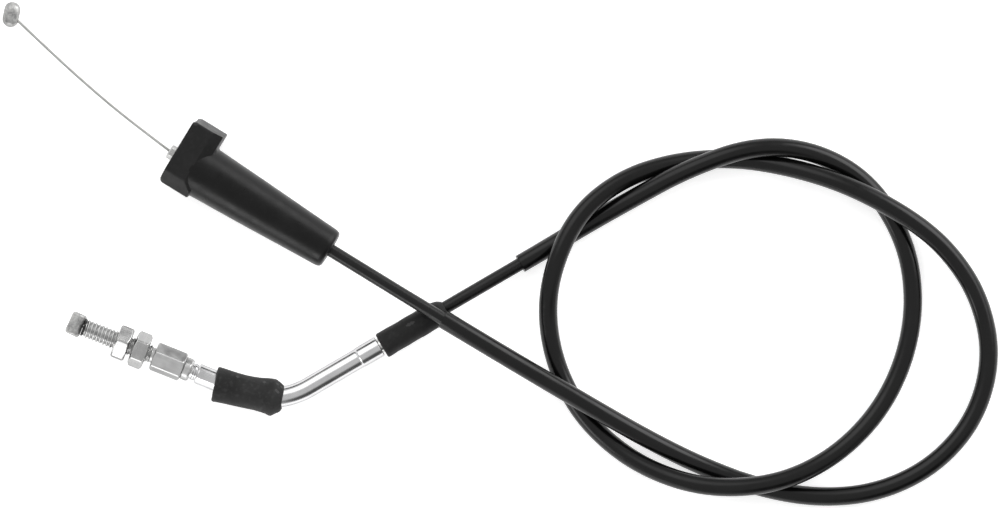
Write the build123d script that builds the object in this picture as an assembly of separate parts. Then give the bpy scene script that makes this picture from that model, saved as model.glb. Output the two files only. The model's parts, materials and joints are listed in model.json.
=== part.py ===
"""Pull-type throttle control cable, laid out flat in two loops.

Frame: millimetres, +Z up, Z = 0 on the surface that the cable lies on. X and Y are zero midway
between the two end fittings. A steel core wire runs through a lined, armoured casing from the
throttle nipple to the carburettor nipple; the far end has a bent guide tube and a threaded
adjuster with two lock nuts.
"""
from build123d import *
from math import cos, radians, tan
import os

# casing layers, as outer radii
CORE_R = 0.45
LINER_BORE_R = 0.75
LINER_R = 1.15
ARMOUR_R = 1.75
CASING_R = 2.15
SLEEVE_BORE_R = 2.25
SLEEVE_R = 3.10

# route of the casing's centre line, from the boot's mouth to the mouth of the elbow seal
ROUTE = [
    (36.0, -14.3, 12.35), (49.5, -22.6, 12.95), (63.5, -31.2, 13.5), (84.9, -44.1, 13.6),
    (106.5, -57.0, 10.3), (125.6, -68.2, 10.3), (143.3, -78.4, 6), (161.2, -87.4, 3.1),
    (181.1, -95.0, 3.1), (202.0, -98.7, 3.1), (222.7, -96.6, 3.1), (241.6, -87.3, 3.1),
    (255.3, -71.3, 3.1), (260.8, -50.5, 3.1), (256.6, -30.4, 3.1), (246.3, -14.7, 6.5),
    (233.0, -3.5, 10.3), (212.2, 7.8, 10.3), (192.0, 14.1, 6.6), (172.0, 17.2, 3.1),
    (152.0, 15.7, 3.1), (133.7, 9.5, 6.8), (118.9, -3.1, 10.9), (110.5, -22.8, 10.9),
    (109.4, -40.5, 5.8), (114.2, -58.5, 3.1), (124.4, -74.6, 3.1), (141.3, -87.9, 5.5),
    (163.1, -95.3, 10.3), (186.9, -94.1, 10.3), (206.4, -85.3, 5.5), (221.8, -70.4, 3.1),
    (231.2, -51.9, 3.1), (234.7, -31.5, 3.1), (231.3, -10.6, 3.1), (219.1, 8.9, 3.1),
    (200.8, 19.5, 6.6), (180.0, 21.4, 10.3), (157.0, 13.3, 10.3), (138.0, 2.9, 6.2),
    (123.9, -5.0, 3.1), (109.1, -13.9, 4.2), (91.6, -24.1, 6.45), (74.8, -33.9, 6.45),
]
SLEEVE_FIRST = 2  # the outer sleeve starts halfway along the run that leaves this point
SLEEVE_LAST = 41  # and ends halfway along the run that leaves this one
ARC_SHARE = 0.45  # how much of the shorter run each arc takes up

# exposed core wire, from the throttle end cap to the middle of its nipple
WIRE_ROUTE = [
    (-17.6, 18.6, 9.95), (-32.8, 30.0, 8.8), (-46.6, 41.6, 6.9),
    (-59.9, 53.7, 4.8), (-72.5, 65.7, 2.9),
]

# throttle nipple: a barrel that lies on the floor
NIPPLE_R = 2.77
NIPPLE_LENGTH = 8.6
NIPPLE_CENTRE = (-72.6, 65.8, NIPPLE_R)
NIPPLE_LEAN = 10.0  # of its axis from +Y towards +X, in degrees
NIPPLE_ROUND = 2.6

# throttle boot and end cap, along the casing's first straight stretch
BOOT_LENGTH = 62.1
HEAD_DEPTH = 11.3
HEAD_HALF_HEIGHT = 9.5
HEAD_LONG_SIDE = 14.25  # from the axis to the end of the head
HEAD_SHORT_SIDE = 10.05
HEAD_FLAT_END = 5.05  # where the flat top gives way to the sloped facet
HEAD_FACET_FOOT = 4.5
HEAD_EDGE_ROUND = 0.6
HEAD_CORNER_ROUND = 1.5
HEAD_BEVEL = 3.6
HEAD_DROP = 3.3
HEAD_ROLL = 6.0  # of the head about the boot's axis, so that it rests on one edge
CONE_START = 6.6
CONE_BIG_R = 9.6
CONE_SMALL_R = 6.95
CONE_END_ROUND = 1.2
SOCKET_R = 4.6
SOCKET_DEPTH = 8.5
BOOT_CLEARANCE = 0.25
CAP_TIP = 1.8  # how far the end cap stands out of the boot
CAP_PIN_R = 2.5
CAP_PIN_END = 7.5
CAP_CRIMP_R = 2.75
CAP_END = 16.0
CAP_HOLE_R = 0.75
CASING_START = 4.0

# bent guide tube: two straight legs and a bend, its axis level
AXIS_Z = 6.45
FITTING_TURN = -22.0  # heading of the adjuster's axis, from the nipple to the elbow, in degrees
BEND_R = 25.0
ELBOW_R = 3.5
ELBOW_BORE_R = 2.5
MOUTH_AT = 40.2  # from the corner, along the leg that takes the casing
MOUTH_R = 3.65
MOUTH_FLARE = 8.0
END_CAP_R = 2.5
END_CAP_BACK = 8.0
END_CAP_FRONT = 6.0
CASING_END_BACK = 6.0
SEAL_END = 65.9  # the end of the seal sleeve, which is where the route ends
SEAL_R = 4.45
SEAL_TAIL = 3.4  # length of its rounded tail
GUARD_R = 5.6
GUARD_HEEL_R = 5.95
GUARD_HEEL = 8.0
GUARD_LIP_R = 6.3
GUARD_LIP = 3.1  # from the lip's widest place to the tip
GUARD_LIP_START = 11.0  # from the tip
GUARD_BLEND = 0.25  # how far under the skin the heel and the lip fade out
GUARD_TIP_R = 4.45
GUARD_ROUTE = [(-3.2, -59.8, AXIS_Z), (7.3, -62.7, AXIS_Z), (19.6, -64.75, AXIS_Z)]

# adjuster, with places along its axis measured from the middle of the carburettor nipple
CORNER_AT = 73.97
TUBE_START = 44.5
NECK_R = 2.70
NECK_FLANGE_R = 3.10
NECK_FLANGE = 1.5
NECK_BACK = 37.8
COLLAR = (39.5, 42.4)
COLLAR_R = 4.0
RUNNING = 0.05
HEX_BODY = (28.65, 39.5)
HEX_BODY_FLATS = 9.0
HEX_BODY_TURN = 43.0  # of a corner from straight up, in degrees
THREAD_R = 3.175  # quarter-inch stud, twenty threads to the inch
THREAD_PITCH = 1.27
THREAD_DEPTH = 0.72
THREAD_FLAT = 0.25
STEM_START = 3.45
STEM_BORE_R = 0.80
NUT_FLATS = 11.11
OUTER_NUT = (14.8, 19.56)
OUTER_NUT_TURN = -6.0
INNER_NUT = (21.1, 26.2)
INNER_NUT_TURN = 34.0
NUT_CLEARANCE = 0.03
SEAL_RING = (2.9, 3.45)
SEAL_RING_R = 2.8
CARB_NIPPLE_R = 2.6
CARB_NIPPLE_LENGTH = 7.9
CARB_NIPPLE_ROUND = 0.9
CARB_NIPPLE_AT = 0.15
CARB_NIPPLE_LEAN = 2.7  # of its axis from square across the wire, in degrees
CARB_WIRE_END = 44.0
CORE_END = 47.0


def turned(*outline):
    """A solid of revolution about Z. The outline's corners are (radius, height)."""
    corners = [(radius, 0, height) for radius, height in outline]
    return revolve(make_face(Polyline(*corners, close=True)), Axis.Z, 360)


def rod(radius, low, high):
    return turned((0, low), (radius, low), (radius, high), (0, high))


def rounded_rod(radius, length, rounding):
    """A barrel about Z, centred on the origin, with rounded ends."""
    barrel = rod(radius, -length / 2, length / 2)
    return fillet(barrel.edges().filter_by(GeomType.CIRCLE), rounding)


def hexagon(flats, low, high, turn=0):
    """A hexagonal bar about Z with its corners chamfered at both ends."""
    corner_r = flats / 2 / cos(radians(30))
    bar = Pos(0, 0, low) * extrude(
        RegularPolygon(flats / 2, 6, major_radius=False, rotation=turn), high - low
    )
    rim = flats / 2 * 0.97
    fall = (corner_r - rim) * tan(radians(30))
    dressing = turned(
        (0, low), (rim, low), (corner_r, low + fall),
        (corner_r, high - fall), (rim, high), (0, high),
    )
    return bar & dressing


def path_along(points, runs=None):
    """Straight runs joined by tangent arcs. The arcs take their size from the route in runs,
    whose inner points are the same, so a path may start or end part of the way along a run."""
    points = [Vector(*p) for p in points]
    sizes = [Vector(*p) for p in (runs or points)]
    radii = []
    for before, here, after in zip(sizes, sizes[1:], sizes[2:]):
        shorter = min((here - before).length, (after - here).length)
        turn = (here - before).get_angle(after - here)
        radii.append(ARC_SHARE * shorter / tan(radians(turn) / 2))
    return FilletPolyline(*points, radius=radii), radii


def tube(path, outer_r, inner_r=0.0):
    """A round bar or tube along a path."""
    section = Circle(outer_r) - Circle(inner_r) if inner_r else Circle(outer_r)
    start = Plane(origin=path @ 0, z_dir=path % 0)
    return sweep(start * section, path=path)


def heading(degrees):
    return Vector(1, 0, 0).rotate(Axis.Z, degrees)


# ---- places that the driving dimensions give ----
route = [Vector(*p) for p in ROUTE]
boot_way = (route[1] - route[0]).normalized()
boot_face = route[0] - boot_way * BOOT_LENGTH
boot_up = (Vector(0, 0, 1) - boot_way * boot_way.Z).normalized()
boot_plane = Plane(origin=boot_face, x_dir=boot_up, z_dir=boot_way)

casing_way = (route[-2] - route[-1]).normalized()
corner = route[-1] - casing_way * SEAL_END
mouth_plane = Plane(origin=corner, x_dir=(0, 0, 1), z_dir=casing_way)
fitting_way = heading(FITTING_TURN)
fitting_start = corner - fitting_way * CORNER_AT
fitting_plane = Plane(origin=fitting_start, x_dir=(0, 0, 1), z_dir=fitting_way)

cap_inside = boot_face + boot_way * CASING_START
elbow_inside = corner + casing_way * (MOUTH_AT - CASING_END_BACK)
casing_path, casing_radii = path_along([cap_inside] + route[1:-1] + [elbow_inside], route)
sleeve_ends = [(route[i] + route[i + 1]) * 0.5 for i in (SLEEVE_FIRST, SLEEVE_LAST)]
sleeve_inner = route[SLEEVE_FIRST + 1:SLEEVE_LAST + 1]
sleeve_path = FilletPolyline(
    sleeve_ends[0], *sleeve_inner, sleeve_ends[1],
    radius=casing_radii[SLEEVE_FIRST:SLEEVE_LAST],
)
core_start = boot_face + boot_way * (CASING_START - 1.5)
core_path = FilletPolyline(
    core_start, *route[1:-1], corner, fitting_start + fitting_way * CORE_END,
    radius=casing_radii + [BEND_R],
)

# ---- throttle end ----
wire_path, wire_radii = path_along(WIRE_ROUTE)
throttle_wire = tube(wire_path, CORE_R)

nipple_axis = heading(90 - NIPPLE_LEAN)
nipple_plane = Plane(origin=NIPPLE_CENTRE, x_dir=(0, 0, 1), z_dir=nipple_axis)
wire_out = Vector(*WIRE_ROUTE[-2]) - Vector(*WIRE_ROUTE[-1])
wire_plane = Plane(origin=WIRE_ROUTE[-1], z_dir=wire_out)
throttle_nipple = (
    nipple_plane.location * rounded_rod(NIPPLE_R, NIPPLE_LENGTH, NIPPLE_ROUND)
    - wire_plane.location * rod(CORE_R, 0, NIPPLE_LENGTH)
)

cap_body = turned(
    (0, 0), (CAP_PIN_R, 0), (CAP_PIN_R, CAP_PIN_END), (CAP_CRIMP_R, CAP_PIN_END),
    (CAP_CRIMP_R, CAP_END - 0.5), (CAP_CRIMP_R - 0.3, CAP_END), (0, CAP_END),
) + hexagon(CAP_PIN_R * 2 * cos(radians(30)), -CAP_TIP, 0.2)
throttle_end_cap = boot_plane.location * (
    cap_body - rod(CAP_HOLE_R, -CAP_TIP - 1, CASING_START) - rod(CASING_R, CASING_START, CAP_END + 1)
)


def boot_head():
    """The offset block that faces the throttle housing, before it is rolled about the axis."""
    top, long_side, short_side = HEAD_HALF_HEIGHT, HEAD_LONG_SIDE, HEAD_SHORT_SIDE
    section = make_face(Polyline(
        (top, -long_side), (top, HEAD_FLAT_END), (HEAD_FACET_FOOT, short_side),
        (-HEAD_FACET_FOOT, short_side), (-top, HEAD_FLAT_END), (-top, -long_side), close=True,
    ))
    head = extrude(section, HEAD_DEPTH)
    head = fillet(head.edges().filter_by(Axis.Z), HEAD_EDGE_ROUND)
    end_edge = head.faces().sort_by(Axis.Z)[0].edges().filter_by(Axis.X).sort_by(Axis.Y)[0]
    head = fillet(end_edge, HEAD_CORNER_ROUND)
    wedge = extrude(Plane.XZ * make_face(Polyline(
        (top - HEAD_DROP, HEAD_DEPTH), (top + 1, HEAD_DEPTH + 1),
        (top + 1, HEAD_DEPTH - HEAD_BEVEL), (top, HEAD_DEPTH - HEAD_BEVEL), close=True,
    )), 40, both=True)
    return head - wedge


def boot():
    """Rubber boot along Z: the head, a tapered round sleeve and the stepped hole through both."""
    crimp_hole_r = CAP_CRIMP_R + BOOT_CLEARANCE
    casing_hole_r = CASING_R + BOOT_CLEARANCE
    cone = turned(
        (0, CONE_START), (CONE_BIG_R, CONE_START), (CONE_SMALL_R, BOOT_LENGTH), (0, BOOT_LENGTH),
    )
    cone = fillet(cone.edges().group_by(Axis.Z)[-1], CONE_END_ROUND)
    hollow = turned(
        (0, -1), (SOCKET_R, -1), (SOCKET_R, SOCKET_DEPTH), (crimp_hole_r, SOCKET_DEPTH),
        (crimp_hole_r, CAP_END + 1), (casing_hole_r, CAP_END + 1),
        (casing_hole_r, BOOT_LENGTH + 1), (0, BOOT_LENGTH + 1),
    )
    return Rot(0, 0, HEAD_ROLL) * boot_head() + cone - hollow


throttle_boot = boot_plane.location * boot()

# ---- casing, its layers and the sleeve over it ----
casing_jacket = tube(casing_path, CASING_R, ARMOUR_R)
casing_armour = tube(casing_path, ARMOUR_R, LINER_R)
casing_liner = tube(casing_path, LINER_R, LINER_BORE_R)
core_wire = tube(core_path, CORE_R)
outer_sleeve = tube(sleeve_path, SLEEVE_R, SLEEVE_BORE_R)

# ---- elbow ----
tube_start = fitting_start + fitting_way * TUBE_START
mouth = corner + casing_way * MOUTH_AT
elbow_path = FilletPolyline(mouth, corner, tube_start, radius=BEND_R)
cap_seat = mouth - casing_way * END_CAP_BACK
lining_path = FilletPolyline(cap_seat, corner, tube_start, radius=BEND_R)
flare = mouth_plane.location * turned(
    (0, MOUTH_AT - MOUTH_FLARE - 0.5), (ELBOW_R, MOUTH_AT - MOUTH_FLARE - 0.5),
    (MOUTH_R, MOUTH_AT - MOUTH_FLARE), (MOUTH_R, MOUTH_AT - 0.3),
    (MOUTH_R - 0.3, MOUTH_AT), (0, MOUTH_AT),
)
neck = fitting_plane.location * turned(
    (STEM_BORE_R, NECK_BACK), (NECK_FLANGE_R, NECK_BACK), (NECK_FLANGE_R, NECK_BACK + NECK_FLANGE),
    (NECK_R, NECK_BACK + NECK_FLANGE), (NECK_R, TUBE_START), (STEM_BORE_R, TUBE_START),
)
elbow_tube = tube(elbow_path, ELBOW_R) + flare - tube(elbow_path, ELBOW_BORE_R) + neck
elbow_liner = tube(lining_path, ELBOW_BORE_R, STEM_BORE_R)
elbow_end_cap = mouth_plane.location * turned(
    (CASING_R, MOUTH_AT - CASING_END_BACK), (STEM_BORE_R, MOUTH_AT - CASING_END_BACK),
    (STEM_BORE_R, MOUTH_AT - END_CAP_BACK), (END_CAP_R, MOUTH_AT - END_CAP_BACK),
    (END_CAP_R, MOUTH_AT + END_CAP_FRONT), (CASING_R, MOUTH_AT + END_CAP_FRONT),
)
elbow_seal_sleeve = mouth_plane.location * turned(
    (END_CAP_R, MOUTH_AT + 0.6), (SEAL_R - 0.4, MOUTH_AT + 0.6), (SEAL_R, MOUTH_AT + 1.0),
    (SEAL_R - 0.2, SEAL_END - SEAL_TAIL), (SEAL_R - 0.7, SEAL_END - SEAL_TAIL * 0.5),
    (SEAL_R - 1.7, SEAL_END), (CASING_R, SEAL_END),
    (CASING_R, MOUTH_AT + END_CAP_FRONT), (END_CAP_R, MOUTH_AT + END_CAP_FRONT),
)
guard_path, guard_radii = path_along(GUARD_ROUTE)
guard_end = Plane(origin=guard_path @ 1, z_dir=guard_path % 1)
guard_lip = guard_end.location * turned(
    (0, -GUARD_LIP_START), (GUARD_R - GUARD_BLEND, -GUARD_LIP_START),
    (GUARD_LIP_R, -GUARD_LIP - 0.6), (GUARD_LIP_R, -GUARD_LIP), (GUARD_TIP_R, 0), (0, 0),
)
guard_tip = guard_end.location * turned(
    (GUARD_TIP_R - 0.2, 0.01), (GUARD_R, -GUARD_LIP * 0.75), (GUARD_R + 2, -GUARD_LIP * 0.75),
    (GUARD_R + 2, 0.01),
)
guard_heel = Plane(origin=guard_path @ 0, z_dir=guard_path % 0).location * turned(
    (0, 0), (GUARD_HEEL_R, 0), (GUARD_HEEL_R, 0.6), (GUARD_R - GUARD_BLEND, GUARD_HEEL),
    (0, GUARD_HEEL),
)
elbow_guard_sleeve = (
    (tube(guard_path, GUARD_R) - guard_tip) + guard_lip + guard_heel - tube(elbow_path, ELBOW_R)
)

# ---- adjuster ----
crests = int((HEX_BODY[0] - STEM_START) / THREAD_PITCH)
thread = [(STEM_BORE_R, STEM_START), (THREAD_R - THREAD_DEPTH, STEM_START)]
for n in range(crests):
    middle = STEM_START + THREAD_PITCH * (n + 0.5)
    thread += [(THREAD_R, middle - THREAD_FLAT / 2), (THREAD_R, middle + THREAD_FLAT / 2)]
    thread += [(THREAD_R - THREAD_DEPTH, middle + THREAD_PITCH / 2)]
thread += [(THREAD_R - THREAD_DEPTH, HEX_BODY[0] + 1), (STEM_BORE_R, HEX_BODY[0] + 1)]
hex_body = hexagon(HEX_BODY_FLATS, *HEX_BODY, turn=HEX_BODY_TURN)
swivel_bore = rod(NECK_FLANGE_R + RUNNING, NECK_BACK - 0.3, HEX_BODY[1] + 1)
adjuster_screw = fitting_plane.location * (
    turned(*thread) + (hex_body - rod(STEM_BORE_R, 0, HEX_BODY[1] + 1)) - swivel_bore
)
swivel_collar = fitting_plane.location * (
    turned(
        (NECK_R + RUNNING, COLLAR[0]), (COLLAR_R - 0.3, COLLAR[0]), (COLLAR_R, COLLAR[0] + 0.4),
        (COLLAR_R, COLLAR[1] - 0.7), (COLLAR_R - 0.6, COLLAR[1]), (NECK_R + RUNNING, COLLAR[1]),
    )
    - [Rot(0, 0, 60 * n) * Pos(COLLAR_R + 0.6, 0, 0) * rod(1.0, COLLAR[0] + 0.5, COLLAR[1] + 1)
       for n in range(6)]
)
stem_seal = fitting_plane.location * turned(
    (STEM_BORE_R, SEAL_RING[0]), (SEAL_RING_R - 0.15, SEAL_RING[0]), (SEAL_RING_R, SEAL_RING[0] + 0.15),
    (SEAL_RING_R, SEAL_RING[1]), (STEM_BORE_R, SEAL_RING[1]),
)


def lock_nut(low, high, turn):
    nut = hexagon(NUT_FLATS, low, high, turn)
    return fitting_plane.location * (nut - rod(THREAD_R + NUT_CLEARANCE, low - 1, high + 1))


lock_nut_outer = lock_nut(*OUTER_NUT, turn=OUTER_NUT_TURN)
lock_nut_inner = lock_nut(*INNER_NUT, turn=INNER_NUT_TURN)

# ---- carburettor end of the core wire ----
carb_wire = fitting_plane.location * rod(CORE_R, CARB_NIPPLE_AT, CARB_WIRE_END)
carb_barrel = Rot(90 - CARB_NIPPLE_LEAN, 0, 0) * rounded_rod(
    CARB_NIPPLE_R, CARB_NIPPLE_LENGTH, CARB_NIPPLE_ROUND
)
carb_nipple = fitting_plane.location * (
    Pos(0, 0, CARB_NIPPLE_AT) * carb_barrel - rod(CORE_R, CARB_NIPPLE_AT, CARB_NIPPLE_R + 1)
)

PARTS = {
    "throttle_nipple": throttle_nipple,
    "throttle_wire": throttle_wire,
    "throttle_end_cap": throttle_end_cap,
    "throttle_boot": throttle_boot,
    "casing_jacket": casing_jacket,
    "casing_armour": casing_armour,
    "casing_liner": casing_liner,
    "core_wire": core_wire,
    "outer_sleeve": outer_sleeve,
    "elbow_seal_sleeve": elbow_seal_sleeve,
    "elbow_end_cap": elbow_end_cap,
    "elbow_tube": elbow_tube,
    "elbow_liner": elbow_liner,
    "elbow_guard_sleeve": elbow_guard_sleeve,
    "swivel_collar": swivel_collar,
    "adjuster_screw": adjuster_screw,
    "stem_seal": stem_seal,
    "lock_nut_outer": lock_nut_outer,
    "lock_nut_inner": lock_nut_inner,
    "carb_wire": carb_wire,
    "carb_nipple": carb_nipple,
}

os.makedirs("parts", exist_ok=True)
for name, shape in PARTS.items():
    export_step(shape, f"parts/{name}.step")

print("casing radii", [round(r) for r in casing_radii])
print("wire radii", [round(r) for r in wire_radii], "guard radii", [round(r) for r in guard_radii])
for name, shape, path, outer_r, inner_r in (
    ("casing_jacket", casing_jacket, casing_path, CASING_R, ARMOUR_R),
    ("outer_sleeve", outer_sleeve, sleeve_path, SLEEVE_R, SLEEVE_BORE_R),
    ("core_wire", core_wire, core_path, CORE_R, 0),
):
    section = (Circle(outer_r) - Circle(inner_r)).area if inner_r else Circle(outer_r).area
    print(name, "length", round(path.length, 1), "volume over section times length",
          round(shape.volume / section / path.length, 4))
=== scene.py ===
"""Looks of the throttle cable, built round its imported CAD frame. Everything is in metres."""
import json
import math

import bmesh
import bpy
import numpy as np
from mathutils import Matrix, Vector, noise


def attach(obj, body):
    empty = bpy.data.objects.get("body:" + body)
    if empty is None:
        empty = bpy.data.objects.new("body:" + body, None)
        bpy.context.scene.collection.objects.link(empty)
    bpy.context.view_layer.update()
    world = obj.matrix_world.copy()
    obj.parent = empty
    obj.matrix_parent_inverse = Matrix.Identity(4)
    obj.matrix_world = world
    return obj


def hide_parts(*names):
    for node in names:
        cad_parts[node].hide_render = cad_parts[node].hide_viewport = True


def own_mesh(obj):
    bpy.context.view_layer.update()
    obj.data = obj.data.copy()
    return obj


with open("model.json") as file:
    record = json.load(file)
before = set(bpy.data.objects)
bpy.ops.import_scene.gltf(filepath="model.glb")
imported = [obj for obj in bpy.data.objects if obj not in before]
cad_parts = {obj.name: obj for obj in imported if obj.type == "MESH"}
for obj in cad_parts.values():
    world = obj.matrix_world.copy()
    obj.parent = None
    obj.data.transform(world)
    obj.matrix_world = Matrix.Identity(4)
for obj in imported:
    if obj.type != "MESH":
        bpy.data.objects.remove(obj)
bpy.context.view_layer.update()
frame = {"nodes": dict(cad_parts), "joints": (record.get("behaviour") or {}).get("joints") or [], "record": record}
UP = Vector((0, 0, 1))

# ---- route of the casing, the same points as the CAD model's ----
ROUTE = [
    (0.0360, -0.0143, 0.01235), (0.0495, -0.0226, 0.01295), (0.0635, -0.0312, 0.0135),
    (0.0849, -0.0441, 0.0136), (0.1065, -0.0570, 0.0103), (0.1256, -0.0682, 0.0103),
    (0.1433, -0.0784, 0.006), (0.1612, -0.0874, 0.0031), (0.1811, -0.0950, 0.0031),
    (0.2020, -0.0987, 0.0031), (0.2227, -0.0966, 0.0031), (0.2416, -0.0873, 0.0031),
    (0.2553, -0.0713, 0.0031), (0.2608, -0.0505, 0.0031), (0.2566, -0.0304, 0.0031),
    (0.2463, -0.0147, 0.0065), (0.2330, -0.0035, 0.0103), (0.2122, 0.0078, 0.0103),
    (0.1920, 0.0141, 0.0066), (0.1720, 0.0172, 0.0031), (0.1520, 0.0157, 0.0031),
    (0.1337, 0.0095, 0.0068), (0.1189, -0.0031, 0.0109), (0.1105, -0.0228, 0.0109),
    (0.1094, -0.0405, 0.0058), (0.1142, -0.0585, 0.0031), (0.1244, -0.0746, 0.0031),
    (0.1413, -0.0879, 0.0055), (0.1631, -0.0953, 0.0103), (0.1869, -0.0941, 0.0103),
    (0.2064, -0.0853, 0.0055), (0.2218, -0.0704, 0.0031), (0.2312, -0.0519, 0.0031),
    (0.2347, -0.0315, 0.0031), (0.2313, -0.0106, 0.0031), (0.2191, 0.0089, 0.0031),
    (0.2008, 0.0195, 0.0066), (0.1800, 0.0214, 0.0103), (0.1570, 0.0133, 0.0103),
    (0.1380, 0.0029, 0.0062), (0.1239, -0.0050, 0.0031), (0.1091, -0.0139, 0.0042),
    (0.0916, -0.0241, 0.00645), (0.0748, -0.0339, 0.00645),
]
SLEEVE_FIRST, SLEEVE_LAST = 2, 41  # the outer sleeve starts and ends halfway after these points
WIRE_ROUTE = [
    (-0.0176, 0.0186, 0.00995), (-0.0328, 0.0300, 0.0088), (-0.0466, 0.0416, 0.0069),
    (-0.0599, 0.0537, 0.0048), (-0.0725, 0.0657, 0.0029),
]

# ---- places that the frame gives ----
joints = {j["name"]: j for j in frame["joints"]}
mounts = {m["name"]: m for m in frame["record"]["mounts"]}
boot_way = Vector(joints["boot_slide"]["axis"])
boot_face = Vector(mounts["boot_socket"]["pos_m"])
fitting_way = Vector(joints["adjuster_swivel"]["axis"])
SWIVEL_AT = 0.038
fitting_start = Vector(joints["adjuster_swivel"]["pos_m"]) - fitting_way * SWIVEL_AT
casing_way = (Vector(ROUTE[-2]) - Vector(ROUTE[-1])).normalized()
SEAL_END = 0.0659
corner = Vector(ROUTE[-1]) - casing_way * SEAL_END
CORNER_AT = (corner - fitting_start).length

# ---- camera: straight above, with a long lens ----
VIEW_WIDTH = 0.3401
VIEW_CENTRE = (0.0935, -0.0156)
CAMERA_HEIGHT = 7.5
SENSOR_WIDTH = 36.0
camera_data = bpy.data.cameras.new("camera")
camera_data.sensor_width = SENSOR_WIDTH
camera_data.lens = SENSOR_WIDTH * CAMERA_HEIGHT / VIEW_WIDTH
camera = bpy.data.objects.new("camera", camera_data)
camera.location = (*VIEW_CENTRE, CAMERA_HEIGHT)
bpy.context.scene.collection.objects.link(camera)
bpy.context.scene.camera = camera
bpy.context.scene.view_settings.view_transform = "Standard"


# ---- materials ----
class Nodes:
    """A small helper that adds and joins shader nodes."""

    def __init__(self, name):
        self.material = bpy.data.materials.new(name)
        self.material.use_nodes = True
        self.tree = self.material.node_tree
        self.shader = self.tree.nodes["Principled BSDF"]
        self.coords = self.tree.nodes.new("ShaderNodeTexCoord").outputs["Object"]

    def link(self, source, target):
        self.tree.links.new(source, target)

    def noise(self, scale, detail=4.0, stretch=None, turn=0.0):
        vector = self.coords
        if stretch:
            mapping = self.tree.nodes.new("ShaderNodeMapping")
            mapping.vector_type = "TEXTURE"
            mapping.inputs["Rotation"].default_value = (0, 0, turn)
            mapping.inputs["Scale"].default_value = stretch
            self.link(vector, mapping.inputs["Vector"])
            vector = mapping.outputs["Vector"]
        node = self.tree.nodes.new("ShaderNodeTexNoise")
        node.inputs["Scale"].default_value = scale
        node.inputs["Detail"].default_value = detail
        self.link(vector, node.inputs["Vector"])
        return node.outputs["Fac"]

    def spread(self, value, low, high, start=0.3, end=0.7):
        node = self.tree.nodes.new("ShaderNodeMapRange")
        node.inputs["From Min"].default_value = start
        node.inputs["From Max"].default_value = end
        node.inputs["To Min"].default_value = low
        node.inputs["To Max"].default_value = high
        self.link(value, node.inputs["Value"])
        return node.outputs["Result"]

    def colours(self, value, low, high, start=0.35, end=0.65):
        node = self.tree.nodes.new("ShaderNodeValToRGB")
        node.color_ramp.elements[0].position = start
        node.color_ramp.elements[1].position = end
        node.color_ramp.elements[0].color = (*low, 1)
        node.color_ramp.elements[1].color = (*high, 1)
        self.link(value, node.inputs["Fac"])
        return node.outputs["Color"]

    def blended(self, share, first, second, mode="MIX"):
        node = self.tree.nodes.new("ShaderNodeMix")
        node.data_type = "RGBA"
        node.blend_type = mode
        for socket, value in ((node.inputs[0], share), (node.inputs[6], first), (node.inputs[7], second)):
            if isinstance(value, bpy.types.NodeSocket):
                self.link(value, socket)
            else:
                socket.default_value = value
        return node.outputs[2]

    def edges(self, start=0.51, end=0.56):
        geometry = self.tree.nodes.new("ShaderNodeNewGeometry")
        return self.spread(geometry.outputs["Pointiness"], 0.0, 1.0, start, end)

    def bumps(self, *layers):
        """Each layer is a height and its distance in metres."""
        normal = None
        for height, distance in layers:
            node = self.tree.nodes.new("ShaderNodeBump")
            node.inputs["Distance"].default_value = distance
            self.link(height, node.inputs["Height"])
            if normal:
                self.link(normal, node.inputs["Normal"])
            normal = node.outputs["Normal"]
        self.link(normal, self.shader.inputs["Normal"])


def grey(level):
    return (level, level, level)


def brighter(colour, times):
    return tuple(c * times for c in colour) + (1,)


def black_rubber(name, dark, light, rough, grain, shine, dusty):
    """Moulded rubber: fine grain, faint bloom and dust, and a painted highlight along its sharp edges."""
    n = Nodes(name)
    bloom = n.colours(n.noise(90, 5), dark, light)
    dust = n.spread(n.noise(700, 6), 0.0, dusty, 0.5, 0.75)
    body = n.blended(dust, bloom, brighter(light, 2.2))
    # painted highlight: the sharp edges are painted paler
    n.link(n.blended(n.edges(), body, brighter(light, 2.6)), n.shader.inputs["Base Color"])
    n.link(n.spread(n.noise(260, 4), rough - 0.06, rough + 0.08), n.shader.inputs["Roughness"])
    n.shader.inputs["Specular IOR Level"].default_value = shine
    n.bumps((n.noise(4200, 3), grain), (n.noise(420, 4), grain * 2.5))
    return n.material


def black_vinyl(name, dark, light, rough, shine):
    """Extruded tube: smooth satin skin with faint flow marks."""
    n = Nodes(name)
    n.link(n.colours(n.noise(60, 4), dark, light), n.shader.inputs["Base Color"])
    n.link(n.spread(n.noise(350, 5), rough - 0.05, rough + 0.07), n.shader.inputs["Roughness"])
    n.shader.inputs["Specular IOR Level"].default_value = shine
    n.bumps((n.noise(2600, 3), 0.000008), (n.noise(160, 3), 0.00004))
    return n.material


RIM = (0.42, 0.42, 0.42, 1)  # how metals dim where they turn away
METAL_EDGE_HIGHLIGHT = 1.25  # painted highlight: how much brighter metals are painted along their edges
MARK_DEPTH = 0.000012


def plated(name, dark, light, rough, stretch, turn):
    """Zinc-plated steel: drawn or turned marks, cloudy plate and a painted highlight along its edges."""
    n = Nodes(name)
    marks = n.noise(900, 5, stretch, turn)
    clouds = n.noise(300, 5)
    mixed = n.blended(0.45, n.colours(clouds, dark, light, 0.3, 0.7), n.colours(marks, dark, light, 0.3, 0.7))
    # painted highlight: the edges are painted brighter
    n.link(n.blended(n.edges(), mixed, brighter(light, METAL_EDGE_HIGHLIGHT)), n.shader.inputs["Base Color"])
    n.shader.inputs["Metallic"].default_value = 1.0
    n.shader.inputs["Specular Tint"].default_value = RIM
    n.link(n.spread(clouds, rough - 0.07, rough + 0.1), n.shader.inputs["Roughness"])
    n.bumps((marks, MARK_DEPTH), (n.noise(2200, 4), MARK_DEPTH * 0.7))
    return n.material


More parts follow.
